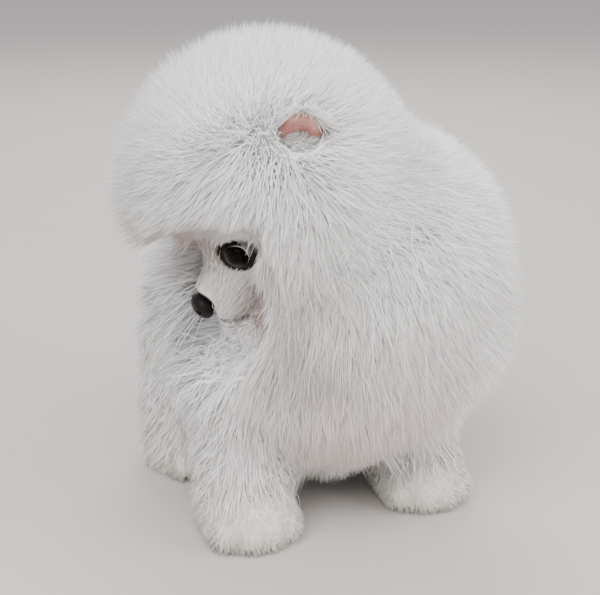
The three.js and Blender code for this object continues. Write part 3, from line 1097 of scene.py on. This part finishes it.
# The head's and the face's hair lies over in ways of its own, which Coat.lie gives.
GROWTH = {
    Zone.HEAD: Growth(shortest=6.0),
    Zone.FACE: Growth(longest=7.0, shortest=1.4, width=0.36),
    Zone.RUFF: Growth(back=0.2, down=0.5),
    Zone.CHEST: Growth(back=0.15, down=0.6),
    Zone.RUMP: Growth(back=0.3, down=0.5),
    Zone.BELLY: Growth(down=0.7),
    Zone.TAIL: Growth(back=0.5, down=-0.15),
    Zone.LEG: Growth(longest=20.0, shortest=6.0, width=0.52, down=0.9),
    Zone.PAW: Growth(longest=6.5, shortest=3.2, width=0.42, back=-0.55, down=0.5),
}


@dataclass
class Coat:
    """The whole coat: thin tapered tufts from the skin out to the coat's reach."""

    skin: bpy.types.Object
    patch: float = 0.003
    most: dict[Kind, int] = field(
        default_factory=lambda: {Kind.BENT: 19000, Kind.FINE: 48000, Kind.UNDER: 48000}
    )
    floor_gap: float = 0.3
    root_depth: float = 0.8
    roundness: float = 0.28
    broad: float = 1.15
    flat: float = 0.6
    stray_share: float = 0.12
    stray_length: float = 1.06
    cluster: int = 14
    brow_share: float = 0.02
    lid_hair: float = 2.4
    counts: dict[Zone, tuple[int, int, int]] = field(
        default_factory=lambda: {
            Zone.HEAD: (26000, 44000, 15000),
            Zone.FACE: (6000, 9000, 0),
            Zone.RUFF: (10000, 18000, 6000),
            Zone.CHEST: (10000, 17000, 6000),
            Zone.RUMP: (9000, 14000, 5000),
            Zone.BELLY: (3000, 4000, 1500),
            Zone.TAIL: (3500, 6000, 2500),
            Zone.LEG: (8000, 13000, 4000),
            Zone.PAW: (6000, 12000, 0),
        }
    )

    def surface(self) -> tuple[np.ndarray, np.ndarray, np.ndarray]:
        """The skin's triangles: corners, places on the unwrap, and areas.

        Returns:
            Three arrays, one row for each triangle.
        """
        mesh = self.skin.data
        mesh.calc_loop_triangles()
        count = len(mesh.loop_triangles)
        verts = np.empty(count * 3, dtype=np.int32)
        loops = np.empty(count * 3, dtype=np.int32)
        mesh.loop_triangles.foreach_get("vertices", verts)
        mesh.loop_triangles.foreach_get("loops", loops)
        flat = np.empty(len(mesh.loops) * 2)
        mesh.uv_layers["SkinUnwrap"].data.foreach_get("uv", flat)
        corners = coordinates(self.skin)[verts.reshape(-1, 3)]
        unwrap = flat.reshape(-1, 2)[loops.reshape(-1, 3)]
        first, second = corners[:, 1] - corners[:, 0], corners[:, 2] - corners[:, 0]
        area = np.linalg.norm(np.cross(first, second), axis=1) / 2
        return corners, unwrap, area

    def zones(self, centres: np.ndarray) -> np.ndarray:
        """The index of each place's zone, in the order of Zone.

        Args:
            centres: Places in the dog's frame.

        Returns:
            The indices.
        """
        order = list(Zone)
        q = HEAD.to(centres)
        head = np.minimum(FORM.crown.distance(centres), FORM.cheek.distance(centres))
        head = np.minimum(head, FORM.cheek.mirrored().distance(centres))
        face = FORM.face_skin(centres)
        parts = {
            Zone.HEAD: head,
            Zone.FACE: face + 0.3,
            Zone.RUFF: FORM.ruff.distance(centres),
            Zone.CHEST: FORM.chest.distance(centres),
            Zone.RUMP: FORM.rump.distance(centres),
            Zone.BELLY: FORM.belly.distance(centres),
            Zone.TAIL: FORM.tail.distance(centres),
        }
        columns = [FORM.leg_column(leg, FORM.leg_coat) for leg in FORM.legs]
        eggs = [egg for leg in FORM.legs for egg in FORM.paw_eggs(leg)]
        parts[Zone.LEG] = np.min([column.distance(centres) for column in columns], axis=0)
        parts[Zone.PAW] = np.min([egg.distance(centres) for egg in eggs], axis=0)
        table = np.stack([parts[zone] for zone in order], axis=1)
        found = np.argmin(table, axis=1)
        carved = (FORM.window_distance(centres) < 1.5) & (q[:, 0] > 0) & (face < 3)
        found[carved & (found != order.index(Zone.PAW))] = order.index(Zone.FACE)
        return found

    def roots(
        self,
        mine: np.ndarray,
        count: int,
        corners: np.ndarray,
        unwrap: np.ndarray,
        area: np.ndarray,
    ) -> tuple[np.ndarray, np.ndarray]:
        """Seeded random places on one zone's skin.

        Args:
            mine: The indices of the zone's triangles.
            count: How many places.
            corners: The skin's triangles.
            unwrap: Their places on the unwrap.
            area: Their areas.

        Returns:
            The places and their points on the unwrap.
        """
        share = area[mine] / area[mine].sum()
        picked = RANDOM.choice(mine, size=count, p=share)
        a, b = RANDOM.random((2, len(picked)))
        over = a + b > 1
        a[over], b[over] = 1 - a[over], 1 - b[over]
        weights = np.stack([1 - a - b, a, b], axis=1)[:, :, None]
        return (corners[picked] * weights).sum(axis=1), (unwrap[picked] * weights).sum(axis=1)

    def outward(self, points: np.ndarray, zone: Zone) -> np.ndarray:
        """Which way the coat stands at places, before it lies over.

        Args:
            points: Places in the dog's frame.
            zone: Their zone.

        Returns:
            Unit directions.
        """
        if zone in (Zone.FACE, Zone.PAW, Zone.LEG):
            field_of = FORM.skin
        else:
            field_of = {
                Zone.HEAD: lambda p: blend_min(
                    blend_min(FORM.crown_reach.distance(p), FORM.cheek_reach.distance(p), 16),
                    FORM.cheek_reach.mirrored().distance(p),
                    16,
                ),
                Zone.RUFF: FORM.ruff_reach.distance,
                Zone.CHEST: FORM.chest_reach.distance,
                Zone.RUMP: FORM.rump_reach.distance,
                Zone.BELLY: FORM.belly_reach.distance,
                Zone.TAIL: FORM.tail_reach.distance,
            }[zone]
        base = field_of(points)
        slope = np.stack([field_of(points + move) - base for move in np.eye(3)], axis=1)
        return unit(slope)

    def lie(self, points: np.ndarray, zone: Zone) -> np.ndarray:
        """How much and which way the coat lies over, added to the outward direction.

        Args:
            points: Places in the dog's frame.
            zone: Their zone.

        Returns:
            One direction for all, or one for each place.
        """
        down = np.array([0.0, 0.0, -1.0])
        back = np.array([0.0, 1.0, 0.0])
        away = -unit(HEAD.forward * 0.86 - HEAD.up * 0.51)
        if zone is Zone.HEAD:
            q = HEAD.to(points)
            front = smooth_step(q[:, 0], -4, 16)[:, None]
            side = smooth_step(np.abs(q[:, 1]), 12, 34)[:, None]
            brow = (smooth_step(q[:, 0], -24, 0) * smooth_step(q[:, 2], -6, 10))[:, None] * side
            hang = 0.16 + 0.10 * front + 0.42 * side
            lean = 0.42 * (1 - front) * (1 - brow)
            return away * lean + down * hang + HEAD.forward * (0.30 * brow)
        if zone is Zone.FACE:
            return away * 1.7 + down * 0.1
        return back * GROWTH[zone].back + down * GROWTH[zone].down

    def grow(self, roots: np.ndarray, way: np.ndarray, limit: float) -> np.ndarray:
        """How far each tuft runs before it meets the coat's reach.

        Args:
            roots: Places on the skin.
            way: The tufts' directions.
            limit: The longest tuft.

        Returns:
            Lengths in millimetres.
        """
        length = np.full(len(roots), 0.5)
        for _ in range(14):
            gap = -FORM.reach(roots + way * length[:, None])
            length = np.clip(length + np.clip(0.8 * gap, -6, 6), 0.4, limit)
        return length

    def tufts(self, zone: Zone, roots: np.ndarray) -> dict[str, np.ndarray]:
        """The tufts of one zone, as arrays.

        Args:
            zone: The zone.
            roots: Places on its skin.

        Returns:
            For each tuft its root, middle, tip, outward direction and width.
        """
        out = self.outward(roots, zone)
        short = zone in (Zone.FACE, Zone.PAW)
        jitter = 0.22 if short else 0.20
        way = unit(out + self.lie(roots, zone) + RANDOM.normal(0, jitter, roots.shape))
        growth = GROWTH[zone]
        length = self.grow(roots, way, growth.longest)
        length = np.clip(length, growth.shortest, growth.longest)
        length *= RANDOM.uniform(0.78 if zone is Zone.HEAD else 0.84, 1.08, len(roots))
        stray = RANDOM.random(len(roots)) < self.stray_share
        length[stray] *= self.stray_length
        tip = roots + way * length[:, None]
        if not short:
            tip = self.gather(roots, tip)
        tip[:, 2] = np.maximum(tip[:, 2], self.floor_gap)
        middle = roots + unit(out + 0.35 * way) * (0.5 * length)[:, None]
        return {
            "root": roots - out * self.root_depth,
            "middle": middle,
            "tip": tip,
            "out": out,
            "width": growth.width * RANDOM.uniform(0.7, 1.2, len(roots)),
        }

    def gather(self, roots: np.ndarray, tips: np.ndarray) -> np.ndarray:
        """Draws the tips of neighbouring tufts together, as soft hair clings.

        Args:
            roots: The tufts' places on the skin.
            tips: Their tips.

        Returns:
            The tips, moved.
        """
        heads = np.arange(0, len(roots), self.cluster)
        tree = kdtree.KDTree(len(heads))
        for n, k in enumerate(heads):
            tree.insert(roots[k], n)
        tree.balance()
        nearest = np.array([heads[tree.find(p)[1]] for p in roots])
        pull = RANDOM.uniform(0.15, 0.55, len(roots))[:, None]
        target = tips[nearest] + (roots - roots[nearest]) * 0.35
        return tips * (1 - pull) + target * pull

    def mesh(
        self,
        name: str,
        made: dict[str, np.ndarray],
        colours: np.ndarray,
        places: np.ndarray,
        rings: tuple[float, ...],
    ) -> bpy.types.Object:
        """One mesh of closed three-sided tufts.

        Args:
            name: The piece's name.
            made: Arrays of the tufts.
            colours: A colour for each tuft.
            places: Each root's point on the skin's unwrap.
            rings: How far along its length each ring of a tuft lies.

        Returns:
            The new object, in metres.
        """
        count = len(colours)
        root, middle, tip = made["root"], made["middle"], made["tip"]
        side = unit(np.cross(tip - root, made["out"] + RANDOM.normal(0, 0.5, root.shape)))
        per = 3 * len(rings) + 1
        points = np.empty((count, per, 3))
        facing = np.empty((count, per, 3))
        shades = np.empty((count, per, 3))
        patch = np.empty((count, per, 2))
        # Each tuft takes its root's colour and a random tone, painted darker towards the root as
        # painted shade deep in the coat.
        tone = RANDOM.uniform(0.965, 1.02, count)[:, None]
        for k, t in enumerate(rings):
            centre = (1 - t) ** 2 * root + 2 * t * (1 - t) * middle + t * t * tip
            along = unit(2 * (1 - t) * (middle - root) + 2 * t * (tip - middle))
            face = unit(np.cross(along, side))
            swell = (0.75 + 0.9 * t) if t < 0.45 else 1.55 * (1 - t) ** 0.75
            half = made["width"][:, None] * 0.5 * swell
            for j, angle in enumerate((90, 210, 330)):
                x, y = math.cos(math.radians(angle)), math.sin(math.radians(angle))
                edge = side * half * x * self.broad
                points[:, 3 * k + j] = centre + edge + face * half * y * self.flat
                facing[:, 3 * k + j] = unit(made["out"] + self.roundness * (side * x + face * y))
                shades[:, 3 * k + j] = np.clip(colours * tone * (0.90 + 0.12 * t), 0, 1)
                patch[:, 3 * k + j] = places + self.patch * np.array([j / 3, t])
        points[:, -1] = tip
        facing[:, -1] = made["out"]
        points[..., 2] = np.maximum(points[..., 2], self.floor_gap)
        shades[:, -1] = np.clip(colours * tone * 1.02, 0, 1)
        patch[:, -1] = places + self.patch * np.array([0.5, 1.0])
        corners, sizes = self.pattern(len(rings))
        start = (np.arange(count) * per)[:, None]
        loops = (start + corners[None, :]).ravel()
        totals = np.tile(sizes, count)
        mesh = bpy.data.meshes.new(name)
        mesh.vertices.add(count * per)
        mesh.vertices.foreach_set("co", metres(points.reshape(-1, 3)).astype(np.float32).ravel())
        mesh.loops.add(len(loops))
        mesh.loops.foreach_set("vertex_index", loops.astype(np.int32))
        mesh.polygons.add(len(totals))
        mesh.polygons.foreach_set("loop_start", (np.cumsum(totals) - totals).astype(np.int32))
        mesh.polygons.foreach_set("use_smooth", np.ones(len(totals), dtype=bool))
        layer = mesh.uv_layers.new(name="OFBake")
        unwrap = np.clip(patch.reshape(-1, 2)[loops], 0, 1)
        layer.data.foreach_set("uv", unwrap.astype(np.float32).ravel())
        mesh.update(calc_edges=True)
        mesh.normals_split_custom_set_from_vertices(facing.reshape(-1, 3))
        piece = bpy.data.objects.new(name, mesh)
        bpy.context.scene.collection.objects.link(piece)
        paint(piece, shades.reshape(-1, 3))
        return piece

    def pattern(self, rings: int) -> tuple[np.ndarray, np.ndarray]:
        """The corners of one tuft's faces, and how many each face has.

        Args:
            rings: How many rings a tuft has.

        Returns:
            The corners, face after face, and the count for each face.
        """
        faces = [(2, 1, 0)]
        for k in range(rings - 1):
            for j in range(3):
                a, b = 3 * k + j, 3 * k + (j + 1) % 3
                faces.append((a, b, b + 3, a + 3))
        last = 3 * (rings - 1)
        for j in range(3):
            faces.append((last + j, last + (j + 1) % 3, 3 * rings))
        return np.concatenate([np.array(f) for f in faces]), np.array([len(f) for f in faces])

    def build(self, material: bpy.types.Material) -> None:
        """Grows the coat, zone by zone.

        Args:
            material: The hair's material.
        """
        corners, unwrap, area = self.surface()
        found = self.zones(corners.mean(axis=1))
        for zone in Zone:
            mine = np.where(found == list(Zone).index(zone))[0]
            for kind, count in zip(Kind, self.counts[zone]):
                if not count:
                    continue
                roots, places = self.roots(mine, count, corners, unwrap, area)
                keep = self.clear(roots, zone)
                roots, places = roots[keep], places[keep]
                made = self.undercoat(roots, zone) if kind is Kind.UNDER else self.tufts(zone, roots)
                crossing = self.crosses_eye(made)
                if kind is Kind.UNDER:
                    made = {key: value[~crossing] for key, value in made.items()}
                    roots, places = roots[~crossing], places[~crossing]
                else:
                    self.crop(made, crossing)
                rings = (0.0, 0.55) if kind is Kind.BENT else (0.0,)
                colours = coat_colours_and_painted_light(roots)
                most = self.most[kind]
                order = np.argsort(roots[:, 2])
                for n, part in enumerate(np.array_split(order, math.ceil(len(roots) / most))):
                    some = {key: value[part] for key, value in made.items()}
                    name = "%s_%s_%d" % (kind.value, zone.value, n + 1)
                    dress(self.mesh(name, some, colours[part], places[part], rings), material)

    def fringe(self, ears: "Ears", material: bpy.types.Material) -> None:
        """Grows the hair on the ears, which takes its places from the nearest skin.

        Args:
            ears: The ears.
            material: The hair's material.
        """
        corners, unwrap, _ = self.surface()
        centres = corners.mean(axis=1)
        for word, side in (("left", 1), ("right", -1)):
            made = ears.hair(side)
            close = np.where(np.linalg.norm(centres - made["root"].mean(axis=0), axis=1) < 30)[0]
            gaps = np.linalg.norm(made["root"][:, None] - centres[close][None], axis=2)
            places = unwrap[close[np.argmin(gaps, axis=1)]].mean(axis=1)
            piece = self.mesh("ear_fringe_" + word, made, coat_colours_and_painted_light(made["root"]), places, (0.0, 0.55))
            dress(piece, material)

    def undercoat(self, roots: np.ndarray, zone: Zone) -> dict[str, np.ndarray]:
        """Short, broad tufts that fill the depth of the coat under the long ones.

        Args:
            roots: Places on the skin.
            zone: Their zone.

        Returns:
            The tufts, as arrays.
        """
        out = self.outward(roots, zone)
        way = unit(out + 0.6 * self.lie(roots, zone) + RANDOM.normal(0, 0.25, roots.shape))
        length = self.grow(roots, way, 40.0) * RANDOM.uniform(0.55, 0.84, len(roots))
        return {
            "root": roots - out * self.root_depth,
            "middle": roots + way * (0.5 * length)[:, None],
            "tip": roots + way * length[:, None],
            "out": out,
            "width": np.full(len(roots), 3.0),
        }

    def crosses_eye(self, made: dict[str, np.ndarray]) -> np.ndarray:
        """Which tufts run through the rooms in front of the eyes, but for a few brow hairs.

        Args:
            made: Arrays of the tufts.

        Returns:
            True for each tuft that does.
        """
        root, middle, tip = made["root"], made["middle"], made["tip"]
        crossing = np.full(len(root), False)
        for share in (0.35, 0.6, 0.8, 1.0):
            point = (1 - share) ** 2 * root + 2 * share * (1 - share) * middle + share**2 * tip
            crossing |= FORM.sight_distance(point) < 0
        return crossing & (RANDOM.random(len(root)) > self.brow_share)

    def crop(self, made: dict[str, np.ndarray], chosen: np.ndarray) -> None:
        """Cuts the chosen tufts down to the short hair of the lids.

        Args:
            made: Arrays of the tufts, which are changed.
            chosen: True for each tuft to cut.
        """
        root = made["root"][chosen]
        length = np.linalg.norm(made["tip"][chosen] - root, axis=1, keepdims=True)
        shorter = np.minimum(self.lid_hair / np.maximum(length, 1e-6), 1.0)
        for key in ("middle", "tip"):
            made[key][chosen] = root + (made[key][chosen] - root) * shorter

    def clear(self, roots: np.ndarray, zone: Zone) -> np.ndarray:
        """Which roots carry a tuft: none on the eyes' rims, the nose, the lips' edge or a sole.

        Args:
            roots: Places on the skin.
            zone: Their zone.

        Returns:
            True for each root that does.
        """
        q = HEAD.to(roots)
        keep = roots[:, 2] > 0.8
        if zone is Zone.FACE:
            for eye in (FORM.eye, FORM.eye.mirrored()):
                keep &= FORM.lid_distance(roots, eye) > 1.9
                keep &= eye.distance(roots) > 1.4
            keep &= FORM.nose.distance(roots) > 1.6
            keep &= (np.abs(q[:, 2] - FORM.lip_line(q)) > 0.8) | (q[:, 0] < 19)
        return keep


@dataclass
class Eyes:
    """The two eyes, each a smooth ball set in its lids."""

    segments: int = 48

    def build(self) -> None:
        """Models each eye and gives it its wet finish."""
        for word, egg in (("left", FORM.eye), ("right", FORM.eye.mirrored())):
            ball = add_egg("eyeball_" + word, egg, self.segments, 0.05)
            look = FORM.eye_look(egg) @ HEAD.rows
            points = coordinates(ball)
            centre = HEAD.at(egg.centre)
            facing = np.clip(unit(points - centre) @ look, 0, 1)
            points += look * (0.55 * smooth_step(facing, 0.72, 1.0))[:, None]
            set_coordinates(ball, metres(points))
            choose(ball)
            bpy.ops.object.shade_smooth()
            finish = WetEye("wet_eye_" + word, tuple(metres(centre)), tuple(look))
            dress(ball, finish.make())
            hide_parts("eye_" + word)


@dataclass
class Nose:
    """The nose leather with its two nostrils."""

    nostril: tuple[float, float, float] = (42.6, 3.2, -13.2)
    slit: tuple[float, float, float] = (2.8, 1.3, 1.0)

    def build(self) -> None:
        """Models the nose from one egg and cuts the nostrils and the groove between them."""
        leather = add_egg("nose_pad", FORM.nose, 40)
        for side in (1, -1):
            centre = (self.nostril[0], self.nostril[1] * side, self.nostril[2])
            cutter = add_egg("nostril", Egg(HEAD, centre, self.slit), 16)
            add_modifier(leather, "BOOLEAN", operation="DIFFERENCE", object=cutter, solver="EXACT")
            bpy.data.objects.remove(cutter)
        points = coordinates(leather)
        q = HEAD.to(points)
        front = smooth_step(q[:, 0], 39, 42.5)
        groove = np.exp(-((q[:, 1] / 0.5) ** 2)) * front * smooth_step(-q[:, 2], 12.5, 15)
        points -= HEAD.forward * (0.55 * groove)[:, None]
        set_coordinates(leather, metres(points))
        choose(leather)
        shade(40)
        dress(leather, NoseLeather().make())
        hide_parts("nose")


@dataclass
class Ears:
    """The small pricked ears, sunk in the coat."""

    root: tuple[float, float, float] = (-20, 26, 24)
    tip: tuple[float, float, float] = (-25, 42, 43)
    width: float = 10.0
    thick: float = 5.0
    taper: float = 0.42
    fringe: int = 900

    def axes(self, side: int) -> tuple[Axes, float]:
        """The frame of one ear, with forward from root to tip and up out of the cup.

        Args:
            side: 1 for the left ear, -1 for the right one.

        Returns:
            The frame, and the ear's length.
        """
        start = HEAD.at(np.array(self.root) * [1, side, 1])
        end = HEAD.at(np.array(self.tip) * [1, side, 1])
        along = unit(end - start)
        opening = HEAD.forward * 0.4 + HEAD.left * 0.9 * side
        opening = unit(opening - along * (opening @ along))
        length = float(np.linalg.norm(end - start))
        return Axes(start, along, np.cross(opening, along), opening), length

    def build(self) -> None:
        """Models each ear as a cupped leaf of skin."""
        for word, side in (("left", 1), ("right", -1)):
            axes, length = self.axes(side)
            form = Egg(axes, (length / 2, 0, 0), (length / 2 + 1, self.width, self.thick))
            leaf = add_egg("ear_leaf_" + word, form, 32)
            q = axes.to(coordinates(leaf))
            share = np.clip(q[:, 0] / length, 0, 1)
            bowl = np.exp(-((q[:, 1] / 6.0) ** 2)) * np.sin(np.pi * np.clip(share * 0.96 + 0.03, 0, 1))
            q[:, 1] *= 1 - self.taper * share**2
            q[:, 2] = np.where(q[:, 2] > 0, q[:, 2] * 0.75 - 4.4 * bowl, q[:, 2])
            set_coordinates(leaf, metres(axes.at(q)))
            choose(leaf)
            bpy.ops.object.shade_smooth()
            dress(leaf, EarSkin("ear_skin_" + word).make())
            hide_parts("ear_" + word)

    def hair(self, side: int) -> dict[str, np.ndarray]:
        """The fringe on one ear's edge, which stands away from the cup, as arrays of tufts.

        Args:
            side: 1 for the left ear, -1 for the right one.

        Returns:
            The tufts.
        """
        axes, length = self.axes(side)
        angle = np.radians(RANDOM.uniform(-125, 125, self.fringe))
        share = 0.5 + 0.5 * np.cos(angle)
        edge = np.sin(angle) * (1 - self.taper * share**2)
        flat = np.stack([share * length, edge * self.width * 0.97, np.zeros(len(share))], axis=1)
        root = axes.at(flat)
        way = np.outer(np.cos(angle), axes.forward) + np.outer(np.sin(angle), axes.left)
        way = unit(way + 0.42 * axes.up + RANDOM.normal(0, 0.22, root.shape))
        size = RANDOM.uniform(5.5, 10.5, len(share))[:, None]
        tip = root + way * size + np.array([0, 0, -0.18]) * size
        out = unit(way + 0.8 * axes.up)
        width = RANDOM.uniform(0.4, 0.7, len(share))
        middle = root + way * size * 0.5
        return {"root": root, "middle": middle, "tip": tip, "out": out, "width": width}


@dataclass
class Studio:
    """The plain floor, soft light and camera."""

    azimuth: float = -20.0
    elevation: float = 18.0
    distance: float = 560.0
    pixels_per_mm: float = 2.45
    look_at: tuple[float, float, float] = (-12.2, 4.4, 94.0)
    sensor: float = 36.0
    picture_width: float = 600.0

    def build(self) -> None:
        """Sets up the floor, the lights, the world and the camera."""
        deselect()
        bpy.ops.mesh.primitive_plane_add(size=6.0)
        floor = bpy.context.active_object
        floor.name = "floor"
        material, _, shader = start_material("pale_floor")
        shader.inputs["Base Color"].default_value = (*linear("#b9b2ac"), 1)
        shader.inputs["Roughness"].default_value = 0.8
        floor.data.materials.append(material)
        self.lamp("key_light", (-0.5, -0.75, 1.05), 0.9, 27.0)
        self.lamp("fill_light", (0.8, -0.7, 0.5), 0.9, 11.0)
        self.lamp("rim_light", (0.3, 0.9, 0.9), 0.7, 11.0)
        world = bpy.data.worlds.new("soft_room")
        bpy.context.scene.world = world
        world.use_nodes = True
        back = world.node_tree.nodes["Background"]
        back.inputs["Color"].default_value = (0.92, 0.94, 1.0, 1)
        back.inputs["Strength"].default_value = 0.95
        self.camera()

    def lamp(self, name: str, place: tuple[float, float, float], size: float, power: float) -> None:
        """A square soft light that faces the dog.

        Args:
            name: The light's name.
            place: Where it stands, in metres.
            size: Its side, in metres.
            power: Its power, in watts.
        """
        light = bpy.data.lights.new(name, "AREA")
        light.size = size
        light.energy = power
        lamp = bpy.data.objects.new(name, light)
        lamp.location = place
        aim = Vector((0, 0, 0.1)) - Vector(place)
        lamp.rotation_euler = aim.to_track_quat("-Z", "Y").to_euler()
        bpy.context.scene.collection.objects.link(lamp)

    def camera(self) -> None:
        """The camera, at the photograph's height and side."""
        a, e = math.radians(self.azimuth), math.radians(self.elevation)
        back = Vector((math.sin(a) * math.cos(e), -math.cos(a) * math.cos(e), math.sin(e)))
        target = Vector(metres(np.array(self.look_at)))
        data = bpy.data.cameras.new("camera")
        data.sensor_width = self.sensor
        data.lens = self.sensor * self.pixels_per_mm * self.distance / self.picture_width
        camera = bpy.data.objects.new("camera", data)
        camera.location = target + back * self.distance * MM
        camera.rotation_euler = (-back).to_track_quat("-Z", "Y").to_euler()
        bpy.context.scene.collection.objects.link(camera)
        bpy.context.scene.camera = camera


def main() -> None:
    """Builds the studio, then the dog from the skin outwards."""
    Studio().build()
    skin = Skin()
    skin.build()
    hair = PuppyHair().make()
    coat = Coat(skin.piece)
    coat.build(hair)
    ears = Ears()
    coat.fringe(ears, hair)
    skin.finish(CoatedSkin().make())
    Eyes().build()
    Nose().build()
    ears.build()


if __name__ == "__main__":
    main()
